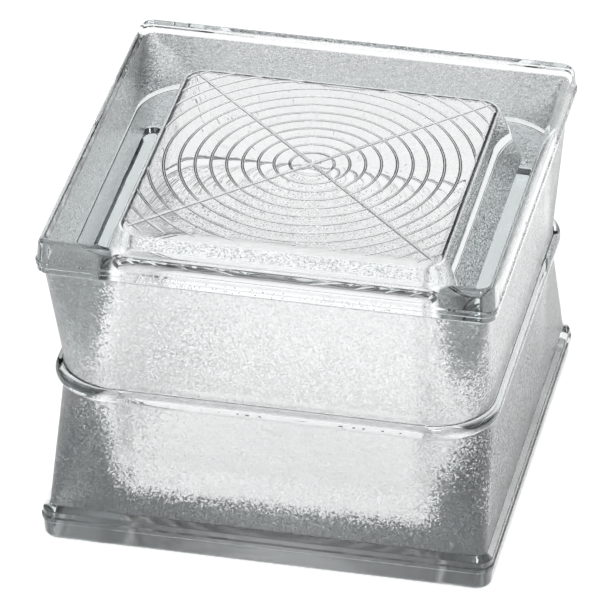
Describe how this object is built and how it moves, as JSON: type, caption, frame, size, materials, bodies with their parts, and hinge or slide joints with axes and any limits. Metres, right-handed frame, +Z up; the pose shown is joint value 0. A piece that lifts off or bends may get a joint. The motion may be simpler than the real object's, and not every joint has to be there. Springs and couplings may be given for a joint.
{
  "type": "glass block",
  "caption": "Square hollow floor block of clear pressed glass: two cupped halves fused along a seam bead, waisted sides, and a ring-and-cross relief inside.",
  "frame": {"origin": "centre of the bottom face, on the surface that the block stands on", "axes": "+Z up from the bottom face to the walked-on face; +X and +Y square to the sides, all four of which are alike"},
  "size_m": [0.145, 0.145, 0.11],
  "materials": {
    "glass": "clear pressed glass, smooth faces and rims, finely stippled side walls"
  },
  "bodies": {
    "root": {"upper_half": "glass", "lower_half": "glass"}
  },
  "joints": []
}
